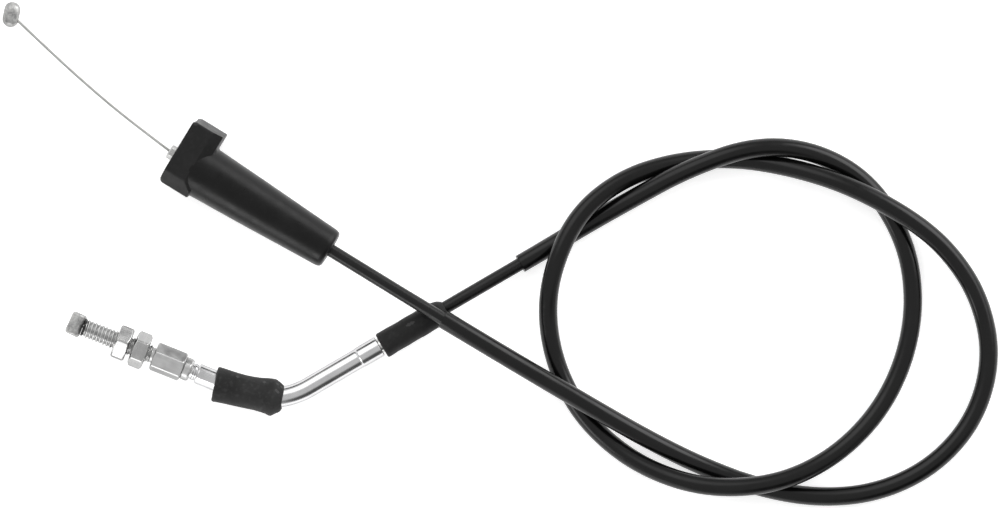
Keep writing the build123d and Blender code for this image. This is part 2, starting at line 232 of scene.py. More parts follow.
def cast_zinc(name, dark, light, rough):
    """Die-cast zinc: mottled grey skin with small pits."""
    n = Nodes(name)
    broad = n.colours(n.noise(420, 5), dark, light, 0.38, 0.62)
    mottle = n.blended(0.5, broad, n.colours(n.noise(1500, 4), dark, light))
    pits = n.noise(1100, 3)
    # painted highlight: the edges are painted brighter
    n.link(n.blended(n.edges(), mottle, brighter(light, METAL_EDGE_HIGHLIGHT)), n.shader.inputs["Base Color"])
    n.shader.inputs["Metallic"].default_value = 0.85
    n.shader.inputs["Specular Tint"].default_value = RIM
    n.link(n.spread(n.noise(500, 4), rough - 0.08, rough + 0.12), n.shader.inputs["Roughness"])
    n.bumps((pits, 0.00004), (n.noise(5200, 3), 0.000012))
    return n.material


def bright_tube(name):
    """Polished plated tube: nearly a mirror, with faint polishing lines and a little haze."""
    n = Nodes(name)
    n.link(n.colours(n.noise(120, 4), (0.60, 0.60, 0.605), (0.68, 0.68, 0.685)), n.shader.inputs["Base Color"])
    n.shader.inputs["Metallic"].default_value = 1.0
    n.shader.inputs["Specular Tint"].default_value = RIM
    n.link(n.spread(n.noise(240, 5), 0.12, 0.20), n.shader.inputs["Roughness"])
    n.bumps((n.noise(520, 3), 0.000010), (n.noise(70, 2), 0.00004))
    return n.material


def nylon(name):
    """Natural nylon: off-white and slightly cloudy."""
    n = Nodes(name)
    n.link(n.colours(n.noise(200, 3), (0.74, 0.73, 0.68), (0.84, 0.83, 0.79)), n.shader.inputs["Base Color"])
    n.link(n.spread(n.noise(600, 3), 0.35, 0.45), n.shader.inputs["Roughness"])
    n.bumps((n.noise(1800, 3), 0.00001))
    return n.material


FITTING_TURN = math.atan2(fitting_way.y, fitting_way.x)
BOOT_TURN = math.atan2(boot_way.y, boot_way.x)
ALONG = (8.0, 1.0, 1.0)  # marks that run along the axis
ROUND = (1.0, 14.0, 14.0)  # marks that run round it
VINYLS = (  # name, dark and light grey, roughness, shine
    ("casing_black", 0.003, 0.006, 0.26, 0.30),
    ("sleeve_black", 0.002, 0.004, 0.20, 0.31),
)
RUBBERS = (  # name, dark and light grey, roughness, grain, shine, dust
    ("boot_rubber", 0.001, 0.003, 0.33, 0.000014, 0.25, 0.3),
    ("boot_head_rubber", 0.006, 0.010, 0.48, 0.00002, 0.26, 0.3),
    ("guard_rubber", 0.011, 0.020, 0.62, 0.00003, 0.20, 0.5),
    ("seal_rubber", 0.009, 0.014, 0.55, 0.00002, 0.20, 0.3),
)
PLATINGS = (  # name, dark and light colour, roughness, direction of the marks, heading
    ("armour_steel", grey(0.30), grey(0.45), 0.4, ROUND, FITTING_TURN),
    ("wire_steel", grey(0.22), (0.36, 0.36, 0.35), 0.42, ALONG, BOOT_TURN),
    ("cap_zinc", grey(0.42), (0.56, 0.56, 0.55), 0.28, ROUND, BOOT_TURN),
    ("adjuster_zinc", grey(0.42), (0.56, 0.56, 0.555), 0.36, ALONG, FITTING_TURN),
    ("nut_zinc", grey(0.40), (0.52, 0.52, 0.515), 0.21, ROUND, FITTING_TURN),
)
LOOKS = {
    "liner_nylon": nylon("liner_nylon"),
    "tube_chrome": bright_tube("tube_chrome"),
    "nipple_zinc": cast_zinc("nipple_zinc", grey(0.24), (0.52, 0.52, 0.51), 0.44),
}
for name, dark, light, *rest in VINYLS:
    LOOKS[name] = black_vinyl(name, grey(dark), grey(light), *rest)
for name, dark, light, *rest in RUBBERS:
    LOOKS[name] = black_rubber(name, grey(dark), grey(light), *rest)
for name, *rest in PLATINGS:
    LOOKS[name] = plated(name, *rest)
SLOTS = {row["node"]: row["material_slot"] for row in frame["record"]["subparts"]}


def wear(piece, slot, look=None):
    """Gives a piece the material of its slot, or another look of the same slot."""
    piece.data.materials.clear()
    piece.data.materials.append(LOOKS[look or slot])


def stand_for(piece, body, node):
    """The piece moves with the body and takes the CAD node's place."""
    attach(piece, body)
    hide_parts(node)


# ---- cords ----
def cord_curve(name, points, radius, slot):
    """A round cord along a smooth curve, with the points as its control points."""
    curve = bpy.data.curves.new(name, "CURVE")
    curve.dimensions = "3D"
    curve.bevel_depth = radius
    curve.bevel_resolution = 8
    curve.resolution_u = 14
    curve.use_fill_caps = True
    spline = curve.splines.new("NURBS")
    spline.points.add(len(points) - 1)
    for place, point in zip(spline.points, points):
        place.co = (*point, 1.0)
    spline.order_u = 3
    spline.use_endpoint_u = True
    piece = bpy.data.objects.new(name, curve)
    bpy.context.scene.collection.objects.link(piece)
    if radius:
        wear(piece, slot)
    return piece


def line_of(points, resolution=40):
    """Points read along the smooth curve that has these control points."""
    guide = cord_curve("guide", points, 0.0, None)
    guide.data.resolution_u = resolution
    bpy.context.view_layer.update()
    mesh = bpy.data.meshes.new_from_object(guide)
    line = [v.co.copy() for v in mesh.vertices]
    bpy.data.objects.remove(guide)
    bpy.data.meshes.remove(mesh)
    return line


def halfway(i):
    """The middle of the run after a point of the route."""
    return (Vector(ROUTE[i]) + Vector(ROUTE[i + 1])) * 0.5


CASING_RADIUS = 0.00222
SLEEVE_RADIUS = 0.0032
ARMOUR_RADIUS, LINER_RADIUS, CORE_RADIUS = 0.00175, 0.00115, 0.00045
CAP_BACK = 0.016
MOUTH_AT = 0.0402
casing_ends = boot_face + boot_way * (CAP_BACK - 0.004), corner + casing_way * (MOUTH_AT - 0.004)
casing_points = [casing_ends[0], *ROUTE, casing_ends[1]]
casing = cord_curve("casing", casing_points, CASING_RADIUS, "casing_black")
layers = [
    cord_curve("casing_armour_winding", casing_points, ARMOUR_RADIUS, "armour_steel"),
    cord_curve("casing_liner_tube", casing_points, LINER_RADIUS, "liner_nylon"),
    cord_curve("core_wire_run", casing_points, CORE_RADIUS, "wire_steel"),
]
for piece, node in zip([casing, *layers], ("casing_jacket", "casing_armour", "casing_liner", "core_wire")):
    stand_for(piece, "cable", node)
sleeve_points = [halfway(SLEEVE_FIRST), *ROUTE[SLEEVE_FIRST + 1:SLEEVE_LAST + 1], halfway(SLEEVE_LAST)]
sleeve = cord_curve("outer_sleeve_tube", sleeve_points, SLEEVE_RADIUS, "sleeve_black")
stand_for(sleeve, "cable", "outer_sleeve")


# ---- mesh helpers ----
def across(way):
    """The direction square to way that is nearest to straight up, and the one beside it."""
    up = (UP - way * way.z).normalized()
    return up, way.cross(up)


def even(angles, radius):
    """A ring that is simply round."""
    return np.full(len(angles), radius)


def straight(origin, way):
    """A path for turned(): the place and heading at each station along a straight axis."""
    def at(station):
        return origin + way * station, way
    return at


def turned(name, outline, path, slot, segments=96, shape=None, closed=True):
    """A skin of rings along a path. The outline is (radius, station) pairs, and shape can change a ring."""
    angles = np.arange(segments) * 2 * math.pi / segments
    points, faces = [], []
    for radius, station in outline:
        centre, way = path(station)
        up, side = across(way)
        radii = np.full(segments, radius) if shape is None else shape(angles, radius, station)
        for angle, r in zip(angles, radii):
            points.append(centre + up * (r * math.cos(angle)) + side * (r * math.sin(angle)))
    rows = len(outline)
    for i in range(rows if closed else rows - 1):
        here, there = i * segments, (i + 1) % rows * segments
        for k in range(segments):
            after = (k + 1) % segments
            faces.append((here + k, here + after, there + after, there + k))
    if not closed:
        faces.append(tuple(range(segments)))
        faces.append(tuple(range((rows - 1) * segments, rows * segments)))
    return finished(name, points, faces, slot)


def finished(name, points, faces, slot, sharp=35):
    """A smooth-shaded object with its faces turned outwards and its edges sharp past an angle."""
    mesh = bpy.data.meshes.new(name)
    mesh.from_pydata([tuple(p) for p in points], [], faces)
    body = bmesh.new()
    body.from_mesh(mesh)
    bmesh.ops.recalc_face_normals(body, faces=body.faces)
    body.to_mesh(mesh)
    body.free()
    mesh.shade_smooth()
    mesh.set_sharp_from_angle(angle=math.radians(sharp))
    piece = bpy.data.objects.new(name, mesh)
    bpy.context.scene.collection.objects.link(piece)
    wear(piece, slot)
    return piece


def ring_sheet(name, rows, slot, sharp):
    """A skin through rows of points that all have the same count, closed both ways."""
    count, points, faces = len(rows[0]), [p for row in rows for p in row], []
    for i in range(len(rows)):
        here, there = i * count, (i + 1) % len(rows) * count
        faces += [(here + k, here + (k + 1) % count, there + (k + 1) % count, there + k) for k in range(count)]
    return finished(name, points, faces, slot, sharp)


def rounded(outline, size, steps=3, closed=True):
    """The outline with its corners rounded off."""
    outline = [Vector(p) for p in outline]
    out = []
    for i, here in enumerate(outline):
        if not closed and i in (0, len(outline) - 1):
            out.append(here)
            continue
        before, after = outline[i - 1], outline[(i + 1) % len(outline)]
        start = here.lerp(before, min(0.45, size / (before - here).length))
        end = here.lerp(after, min(0.45, size / (after - here).length))
        shares = [k / steps for k in range(steps + 1)]
        out += [start.lerp(here, share).lerp(here.lerp(end, share), share) for share in shares]
    return out


def dense(outline, step, closed=True):
    """The outline with points added so that none are further apart than step."""
    out = []
    for i, here in enumerate(outline):
        out.append(here)
        if i + 1 == len(outline) and not closed:
            break
        after = outline[(i + 1) % len(outline)]
        parts = int((after - here).length / step)
        out += [here.lerp(after, k / (parts + 1)) for k in range(1, parts + 1)]
    return out


def soft_min(a, b, blend):
    """The smaller of two radii, rounded over where they cross."""
    h = np.clip(0.5 + 0.5 * (b - a) / blend, 0, 1)
    return b * (1 - h) + a * h - blend * h * (1 - h)


def hexagon(flats, turn, crisp=70):
    """The radius of a hexagon with slightly rounded corners, as a function of the angle."""
    def at(angles):
        normals = turn + math.pi / 6 + np.arange(6) * 2 * math.pi / 6
        reach = np.clip(np.cos(angles[:, None] - normals[None, :]), 0, None)
        return flats / 2 / (reach ** crisp).sum(1) ** (1 / crisp)
    return at


def stranded(name, line, slot, strands=12, radius=0.00048, lay=0.0080, sides=8):
    """A twisted wire rope along a line: thin strands wound about a straight middle bundle."""
    thick = radius * math.sin(math.pi / strands) / (1 + math.sin(math.pi / strands))
    points, faces = [], []
    along = [0.0]
    for a, b in zip(line, line[1:]):
        along.append(along[-1] + (b - a).length)
    ways = [(line[min(i + 1, len(line) - 1)] - line[max(i - 1, 0)]).normalized() for i in range(len(line))]
    for strand in range(strands + 1):
        first = len(points)
        for place, way, run in zip(line, ways, along):
            up, side = across(way)
            turn = 2 * math.pi * (run / lay + strand / strands)
            off = 0.0 if strand == strands else radius - thick
            reach = radius - 1.6 * thick if strand == strands else thick * 1.04
            middle = place + (up * math.cos(turn) + side * math.sin(turn)) * off
            for k in range(sides):
                angle = 2 * math.pi * k / sides
                points.append(middle + (up * math.cos(angle) + side * math.sin(angle)) * reach)
        rows = len(line)
        for i in range(rows - 1):
            for k in range(sides):
                a, b = first + i * sides + k, first + i * sides + (k + 1) % sides
                faces.append((a, b, b + sides, a + sides))
        faces.append(tuple(range(first, first + sides)))
        faces.append(tuple(range(first + (rows - 1) * sides, first + rows * sides)))
    return finished(name, points, faces, slot, 60)


# ---- throttle end ----
BOOT_LENGTH, HEAD_DEPTH, SOCKET_RADIUS = 0.0621, 0.0113, 0.0046
HEAD_TOP, HEAD_LONG_SIDE, HEAD_SHORT_SIDE = 0.0095, 0.01425, 0.01005
HEAD_BEVEL_AT, HEAD_BEVEL_FALL = 0.0077, 0.92
HEAD_ROLL = math.radians(6)
SHOULDER_TOP, SHOULDER_AT = 0.0045, 0.00505  # the head's cut corners, on its short side
HEAD_EDGE = 0.0004


def make_boot_head():
    """The offset block, rolled a little, with a round hole through it."""
    section = dense(rounded([
        (HEAD_TOP, -HEAD_LONG_SIDE), (HEAD_TOP, SHOULDER_AT), (SHOULDER_TOP, HEAD_SHORT_SIDE),
        (-SHOULDER_TOP, HEAD_SHORT_SIDE), (-HEAD_TOP, SHOULDER_AT), (-HEAD_TOP, -HEAD_LONG_SIDE),
    ], 0.0006, 5), 0.00025)
    count = len(section)
    normals = []
    for k, here in enumerate(section):
        run = section[(k + 1) % count] - section[k - 1]
        normals.append(Vector((-run.y, run.x)).normalized() if run.length else Vector((1, 0)))
    if sum(n.dot(p) for n, p in zip(normals, section)) < 0:
        normals = [-n for n in normals]
    rounding = []
    for p in section:
        share = min(1.0, max(0.0, (-p.y - 0.0126) / 0.0014, (p.y - 0.0080) / 0.0018))
        rounding.append(HEAD_EDGE + 0.0011 * share * share * (3 - 2 * share))
    hole = [p.normalized() * SOCKET_RADIUS for p in section]
    level_up, level_side = across(boot_way)
    up = level_up * math.cos(HEAD_ROLL) + level_side * math.sin(HEAD_ROLL)
    side = level_side * math.cos(HEAD_ROLL) - level_up * math.sin(HEAD_ROLL)

    def placed(flat, stations):
        out = []
        for p, s in zip(flat, stations):
            ceiling = HEAD_TOP - HEAD_BEVEL_FALL * max(0.0, s - HEAD_BEVEL_AT)
            out.append(boot_face + boot_way * s + up * min(p.x, ceiling) + side * p.y)
        return out

    rows = [placed([p * 1.03 for p in hole], [0.0] * count)]
    for share in (0.3, 0.6, 0.85):
        rows.append(placed([h.lerp(p, share) for h, p in zip(hole, section)], [0.0] * count))
    for turn in np.linspace(0, math.pi / 2, 7):
        rows.append(placed(
            [p - n * r * (1 - math.sin(turn)) for p, n, r in zip(section, normals, rounding)],
            [r * (1 - math.cos(turn)) for r in rounding],
        ))
    stations = [*np.arange(0.0010, 0.0075, 0.0005), HEAD_BEVEL_AT - 0.0002, HEAD_BEVEL_AT - 0.00004,
                HEAD_BEVEL_AT + 0.00004, *np.arange(HEAD_BEVEL_AT + 0.0002, HEAD_DEPTH - HEAD_EDGE, 0.0002)]
    for s in stations:
        rows.append(placed(section, [max(s, r) for r in rounding]))
    for turn in np.linspace(0, math.pi / 2, 5):
        rows.append(placed([p - n * HEAD_EDGE * (1 - math.cos(turn)) for p, n in zip(section, normals)],
                           [HEAD_DEPTH - HEAD_EDGE + HEAD_EDGE * math.sin(turn)] * count))
    rows.append(placed([h.lerp(p, 0.5) for h, p in zip(hole, section)], [HEAD_DEPTH] * count))
    rows.append(placed(hole, [HEAD_DEPTH] * count))
    rows.append(placed(hole, [0.0060] * count))
    rows.append(placed(hole, [0.00015] * count))
    return ring_sheet("boot_head_moulding", rows, "boot_rubber", 32)


def make_boot_cone():
    """The tapered sleeve, which starts inside the head, with its stepped hole."""
    big, small, start, crimp, bore = 0.0096, 0.00695, 0.0066, 0.0030, 0.0024

    def taper(s):
        return big + (small - big) * (s - start) / (BOOT_LENGTH - start)

    skin = [(SOCKET_RADIUS + 0.0002, start), (big - 0.0004, start)]
    skin += [(taper(s), s) for s in (0.0071, 0.0105, 0.0115, 0.0125, 0.0135, 0.03, 0.045, 0.058)]
    skin += [(taper(0.0605), 0.0605), (small - 0.0004, BOOT_LENGTH - 0.0004), (small - 0.0014, BOOT_LENGTH)]
    hole = [
        (bore + 0.0008, BOOT_LENGTH), (bore, BOOT_LENGTH - 0.0005), (bore, 0.0172), (crimp, 0.0168),
        (crimp, 0.0085), (SOCKET_RADIUS + 0.0002, 0.0085),
    ]

    def shape(angles, radius, station):
        """A fillet where the taller side of the head meets the sleeve, and a slightly uneven skin."""
        if radius < 0.0055:
            return even(angles, radius)
        flare = 0.0011 * np.clip(1 - (station - HEAD_DEPTH) / 0.0012, 0, 1) ** 2 if station > 0.0110 else 0.0
        facing = np.clip((-np.sin(angles - HEAD_ROLL) - 0.80) / 0.12, 0, 1)
        return radius + flare * facing + 0.00003 * np.sin(angles * 2 + station * 150)

    return turned("boot_sleeve_moulding", dense(rounded(skin + hole, 0.0005, 4), 0.0004),
                  straight(boot_face, boot_way), "boot_rubber", 160, shape)


boot_head = make_boot_head()
wear(boot_head, "boot_rubber", "boot_head_rubber")
for boot_piece in (boot_head, make_boot_cone()):
    stand_for(boot_piece, "boot", "throttle_boot")

CAP_TIP, CAP_PIN, CAP_CRIMP = 0.0023, 0.0025, 0.00275
GRIP_START, GRIP_LENGTH = 0.009, 0.006  # where the cap is crimped on the casing
cap_hex = hexagon(2 * CAP_PIN * 0.94, math.radians(24))


def cap_shape(angles, radius, station):
    if station < 0.0004:
        return soft_min(even(angles, radius), cap_hex(angles), 0.00015)
    if radius > CAP_PIN and 0 < station - GRIP_START < GRIP_LENGTH:
        grip = 0.00022 * max(0.0, math.sin((station - GRIP_START) / GRIP_LENGTH * 4 * math.pi))
        return even(angles, radius) - grip * (0.6 + 0.4 * np.cos(angles * 6))
    return even(angles, radius)


cap = turned(
    "throttle_end_cap_shell",
    dense(rounded([
        (0.0007, -CAP_TIP + 0.0002), (0.0010, -CAP_TIP), (0.0022, -CAP_TIP), (CAP_PIN, -CAP_TIP + 0.0003),
        (CAP_PIN, 0.0075), (CAP_CRIMP, 0.0078), (CAP_CRIMP, CAP_BACK - 0.0003), (0.0025, CAP_BACK),
        (CASING_RADIUS, CAP_BACK), (CASING_RADIUS, 0.0040), (0.0007, 0.0040),
    ], 0.00012), 0.0003),
    straight(boot_face, boot_way), "cap_zinc", 96, cap_shape,
)
stand_for(cap, "cable", "throttle_end_cap")

wire_line = line_of(WIRE_ROUTE)
throttle_wire = stranded("throttle_wire_strands", wire_line, "wire_steel")
nipple_at = Vector(mounts["throttle_nipple_barrel"]["pos_m"])
nipple_way = Vector(mounts["throttle_nipple_barrel"]["axis"])


DIMPLE_WIDTH, DIMPLE_DEPTH = 0.0008, 0.0003  # where the wire goes into a nipple


def barrel(name, centre, way, radius, length, rounding, wire_way, slot, rough):
    """A cast barrel with rounded ends, slightly uneven, with a dimple where the wire goes in."""
    half = length / 2
    arc = [Vector((radius - rounding * (1 - math.sin(a)), half - rounding * (1 - math.cos(a))))
           for a in np.linspace(0, math.pi / 2, 10)]
    near = [Vector((p.x, -p.y)) for p in arc]
    poles = Vector((0.00001, -half)), Vector((0.00001, half))
    outline = dense([poles[0], *near, *reversed(arc), poles[1]], 0.0003, False)
    piece = turned(name, outline, straight(centre, way), slot, 72, None, False)
    for vertex in piece.data.vertices:
        out = (vertex.co - centre).normalized()
        lumps = noise.noise(vertex.co * 700) * 0.6 + noise.noise(vertex.co * 2100) * 0.4
        dimple = math.exp(-((vertex.co - centre).cross(wire_way).length / DIMPLE_WIDTH) ** 2)
        facing = max(0.0, out.dot(wire_way))
        vertex.co += out * (rough * (lumps - 0.5) - DIMPLE_DEPTH * dimple * facing)
    return piece


throttle_nipple = barrel(
    "throttle_nipple_barrel", nipple_at, nipple_way, radius=0.00277, length=0.0086, rounding=0.00262,
    wire_way=(Vector(WIRE_ROUTE[-2]) - Vector(WIRE_ROUTE[-1])).normalized(), slot="nipple_zinc", rough=0.00008,
)
stand_for(throttle_nipple, "throttle_wire_end", "throttle_nipple")
stand_for(throttle_wire, "cable", "throttle_wire")
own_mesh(throttle_wire)

# ---- elbow ----
WIRE_BORE = 0.0008
TUBE_START = 0.0445
BEND_RADIUS = 0.025
bend_turn = fitting_way.angle(casing_way)
tangent = BEND_RADIUS * math.tan(bend_turn / 2)
leg = CORNER_AT - tangent
bend = BEND_RADIUS * bend_turn
TUBE_END = leg + bend + MOUTH_AT - tangent


def elbow_at(station):
    """The guide tube's axis: straight, bent, straight. Stations go on from the adjuster's."""
    if station <= leg:
        return fitting_start + fitting_way * station, fitting_way
    if station >= leg + bend:
        return corner + casing_way * (station - leg - bend + tangent), casing_way
    angle = (station - leg) / BEND_RADIUS
    left = UP.cross(fitting_way)
    way = fitting_way * math.cos(angle) + left * math.sin(angle)
    ahead, aside = BEND_RADIUS * math.sin(angle), BEND_RADIUS * (1 - math.cos(angle))
    return fitting_start + fitting_way * leg + fitting_way * ahead + left * aside, way


TUBE_RADIUS, NECK_RADIUS, TUBE_BORE, MOUTH_RADIUS = 0.0035, 0.0027, 0.0025, 0.00365
FLARE_AT = TUBE_END - 0.0080
tube = turned(
    "guide_tube",
    dense(rounded([
        (WIRE_BORE, 0.0380), (0.0031, 0.0380), (0.0031, 0.0392), (NECK_RADIUS, 0.0392), (NECK_RADIUS, 0.0431),
        (0.0030, 0.0433), (0.0030, 0.0439), (NECK_RADIUS, 0.0441),
        (NECK_RADIUS, TUBE_START), (TUBE_RADIUS - 0.0003, TUBE_START), (TUBE_RADIUS, TUBE_START + 0.0005),
        (TUBE_RADIUS, FLARE_AT - 0.0004), (TUBE_RADIUS - 0.00012, FLARE_AT - 0.0001),
        (MOUTH_RADIUS, FLARE_AT + 0.0003), (MOUTH_RADIUS, TUBE_END - 0.0002), (MOUTH_RADIUS - 0.0003, TUBE_END),
        (TUBE_BORE, TUBE_END), (TUBE_BORE, 0.0460), (WIRE_BORE, 0.0460),
    ], 0.00012), 0.0008),
    elbow_at, "tube_chrome", 96,
)
stand_for(tube, "cable", "elbow_tube")

SEAL_RADIUS, SEAL_TAIL = 0.00454, 0.0034


def seal_shape(angles, radius, station):
    """The seal sits a little to one side of the casing, and its skin is slightly uneven."""
    if radius < 0.0026:
        return even(angles, radius)
    waves = 0.00005 * np.sin(angles * 2 + station * 300) + 0.00004 * np.sin(station * 900 + angles)
    return radius + waves + 0.00036 * np.sin(angles)


seal = turned(
    "elbow_seal_moulding",
    dense(rounded([
        (CASING_RADIUS, MOUTH_AT + 0.0006), (SEAL_RADIUS - 0.0004, MOUTH_AT + 0.0006),
        (SEAL_RADIUS, MOUTH_AT + 0.0010), (SEAL_RADIUS - 0.0002, SEAL_END - SEAL_TAIL),
        (SEAL_RADIUS - 0.0007, SEAL_END - SEAL_TAIL * 0.45), (SEAL_RADIUS - 0.0018, SEAL_END),
        (CASING_RADIUS, SEAL_END),
    ], 0.0006, 5), 0.0006),
    straight(corner, casing_way), "seal_rubber", 96, seal_shape,
)
stand_for(seal, "cable", "elbow_seal_sleeve")

GUARD_ROUTE = [(-0.0032, -0.0598, 0.00645), (0.0073, -0.0627, 0.00645), (0.0196, -0.06475, 0.00645)]
GUARD_BORE, GUARD_PAST_BEND = 0.00354, 0.0117


def make_guard():
    """Rubber guard over the bend: cut square at one end, swollen and tapered at the other."""
    line = line_of(GUARD_ROUTE, 60)
    reach = [0.0]
    for a, b in zip(line, line[1:]):
        reach.append(reach[-1] + (b - a).length)
    length = reach[-1]

    def outer(station):
        i = min(max(int(np.searchsorted(reach, station)), 1), len(line) - 1)
        share = (station - reach[i - 1]) / (reach[i] - reach[i - 1])
        way = (line[i] - line[i - 1]).normalized()
        slant = 0.055 * max(0.0, 1 - station / 0.004)  # the near end isn't cut quite square
        return line[i - 1].lerp(line[i], share), (way + UP.cross(way) * slant).normalized()

    first = (line[0] - fitting_start).dot(fitting_way)
    last = leg + GUARD_PAST_BEND

    def at(station):
        """Past the far end, the outline turns back inside, round the guide tube itself."""
        if station <= length:
            return outer(station)
        return elbow_at(last + (first - last) * (station - length - 0.001) / length)

    swell = [
        (0.0056, -0.0003), (0.00606, 0.0001), (0.00578, 0.0050), (0.00566, 0.0100), (0.00570, 0.0145),
        (0.00612, length - 0.0050), (0.00645, length - 0.0032), (0.00435, length), (0.0038, length),
    ]
    skin = dense(rounded(swell, 0.0007, 5, False), 0.0004, False)
    tail = [Vector((GUARD_BORE, length + 0.001 + length * share)) for share in np.linspace(0.03, 1.0, 20)]

    def shape(angles, radius, station):
        if radius < 0.0045:
            return even(angles, radius)
        sag = 0.00008 * np.sin(angles * 2 + station * 160) + 0.00006 * np.sin(angles * 3 - station * 420 + 1)
        bulge = 0.00022 * np.sin(angles) * math.exp(-((length - station - 0.0032) / 0.0012) ** 2)
        return radius + sag * min(1.0, max(0.0, station) / 0.002) + bulge

    return turned("bend_guard_moulding", skin + tail, at, "guard_rubber", 120, shape)


guard = make_guard()
stand_for(guard, "cable", "elbow_guard_sleeve")

# ---- adjuster ----
fitting = straight(fitting_start, fitting_way)
THREAD_RADIUS, THREAD_PITCH, THREAD_DEPTH = 0.003175, 0.00127, 0.00060
STEM_START, THREAD_END, HEX_START, HEX_END = 0.00345, 0.0278, 0.02865, 0.0395
HEX_FLATS = 0.0090
HEX_TURN = math.radians(43)
body_hex = hexagon(HEX_FLATS, HEX_TURN)


def adjuster_shape(angles, radius, station):
    if radius < 0.0012:
        return even(angles, radius)
    if station > HEX_START - 0.00001:
        return soft_min(even(angles, radius), body_hex(angles), 0.00018)
    if station > THREAD_END:
        return even(angles, radius)
    turn = (station / THREAD_PITCH - angles / (2 * math.pi)) % 1.0
    groove = np.clip((np.abs(2 * turn - 1) - 0.12) / 0.76, 0, 1)
    entry = 0.0025 + max(0.0, station - STEM_START) * 0.9
    fade = np.clip((THREAD_END - station) / 0.0008, 0, 1)
    cut = THREAD_RADIUS - THREAD_DEPTH * groove
    cut = cut * fade + (THREAD_RADIUS - THREAD_DEPTH) * (1 - fade)
    return soft_min(cut, np.full(len(angles), entry), 0.00008)


hex_corner = HEX_FLATS / 2 / math.cos(math.pi / 6)
hex_rim = HEX_FLATS / 2 * 0.965
hex_fall = (hex_corner - hex_rim) * math.tan(math.radians(34))
stem_rows = [Vector((THREAD_RADIUS, s)) for s in np.arange(STEM_START, THREAD_END, THREAD_PITCH / 12)]
root = THREAD_RADIUS - THREAD_DEPTH
stem_mouth = [(WIRE_BORE, 0.0300), (WIRE_BORE, STEM_START + 0.0001), (WIRE_BORE + 0.0001, STEM_START)]
adjuster = turned(
    "adjuster_body",
    [Vector(p) for p in stem_mouth] + stem_rows + dense(rounded([
        (root, THREAD_END), (root, HEX_START), (hex_rim, HEX_START), (hex_corner, HEX_START + hex_fall),
        (hex_corner, HEX_END - hex_fall), (hex_rim, HEX_END), (0.0036, HEX_END), (0.00315, HEX_END - 0.0004),
        (0.00315, 0.0375), (0.0030, 0.0374), (0.0011, 0.0374),
    ], 0.00014, 3, False), 0.00022, False),
    fitting, "adjuster_zinc", 144, adjuster_shape,
)
stand_for(adjuster, "adjuster", "adjuster_screw")

COLLAR_FLATS, COLLAR_CRISP = 0.0076, 26
crimp_hex = hexagon(COLLAR_FLATS, HEX_TURN, COLLAR_CRISP)
collar = turned(
    "swivel_collar_ring",
    dense(rounded([
        (0.00275, HEX_END), (0.0037, HEX_END), (0.0040, HEX_END + 0.0004), (0.0040, 0.0417),
        (0.0034, 0.0424), (0.00275, 0.0424),
    ], 0.00012), 0.0002),
    fitting, "adjuster_zinc", 96,
    lambda angles, radius, station: soft_min(even(angles, radius), crimp_hex(angles), 0.0003),
)
stand_for(collar, "adjuster", "swivel_collar")

ring = turned(
    "stem_seal_ring",
    rounded([
        (WIRE_BORE, 0.00277), (0.0029, 0.00277), (0.0030, 0.0029), (0.0030, 0.0034), (WIRE_BORE, 0.0035),
    ], 0.00010),
    fitting, "seal_rubber", 72,
)
stand_for(ring, "adjuster", "stem_seal")

NUT_FLATS, NUT_BORE = 0.01111, 0.003205


def nut(name, node, body, low, high, turn):
    """A lock nut: a hexagonal bar with turned chamfers and a countersunk hole."""
    tip = NUT_FLATS / 2 / math.cos(math.pi / 6)
    rim = NUT_FLATS / 2 * 0.95
    fall = (tip - rim) * math.tan(math.radians(32))
    outline = rounded([
        (NUT_BORE, low + 0.0005), (NUT_BORE + 0.0004, low), (rim, low), (tip, low + fall), (tip, high - fall),
        (rim, high), (NUT_BORE + 0.0004, high), (NUT_BORE, high - 0.0005),
    ], 0.00015)
    sides = hexagon(NUT_FLATS, turn)
    piece = turned(
        name, dense(outline, 0.0002), fitting, "nut_zinc", 144,
        lambda angles, radius, station: soft_min(even(angles, radius), sides(angles), 0.0002),
    )
    stand_for(piece, body, node)


nut("outer_lock_nut", "lock_nut_outer", "outer_nut", 0.0148, 0.01956, math.radians(-6))
nut("inner_lock_nut", "lock_nut_inner", "inner_nut", 0.0211, 0.0262, math.radians(34))

# ---- carburettor end ----
carb_at = Vector(mounts["carb_nipple_barrel"]["pos_m"])
carb_way = Vector(mounts["carb_nipple_barrel"]["axis"])
carb_nipple = barrel(
    "carb_nipple_barrel", carb_at, carb_way, radius=0.0026, length=0.0079, rounding=0.0010,
    wire_way=fitting_way, slot="nipple_zinc", rough=0.00004,
)
stand_for(carb_nipple, "carb_wire_end", "carb_nipple")
CARB_WIRE_LENGTH, CARB_WIRE_STEP = 0.0441, 0.0004
carb_line = [carb_at + fitting_way * s for s in np.arange(0.0, CARB_WIRE_LENGTH, CARB_WIRE_STEP)]
carb_wire = stranded("carb_wire_strands", carb_line, "wire_steel")
stand_for(carb_wire, "carb_wire_end", "carb_wire")

# ---- CAD nodes that stay, inside the elbow ----
for node in ("elbow_liner", "elbow_end_cap"):
    wear(frame["nodes"][node], SLOTS[node])


# ---- floor and light ----
FLOOR_REACH = 3.0
FLOOR_GAP = 0.0001
FLOOR_GLOW = 0.57


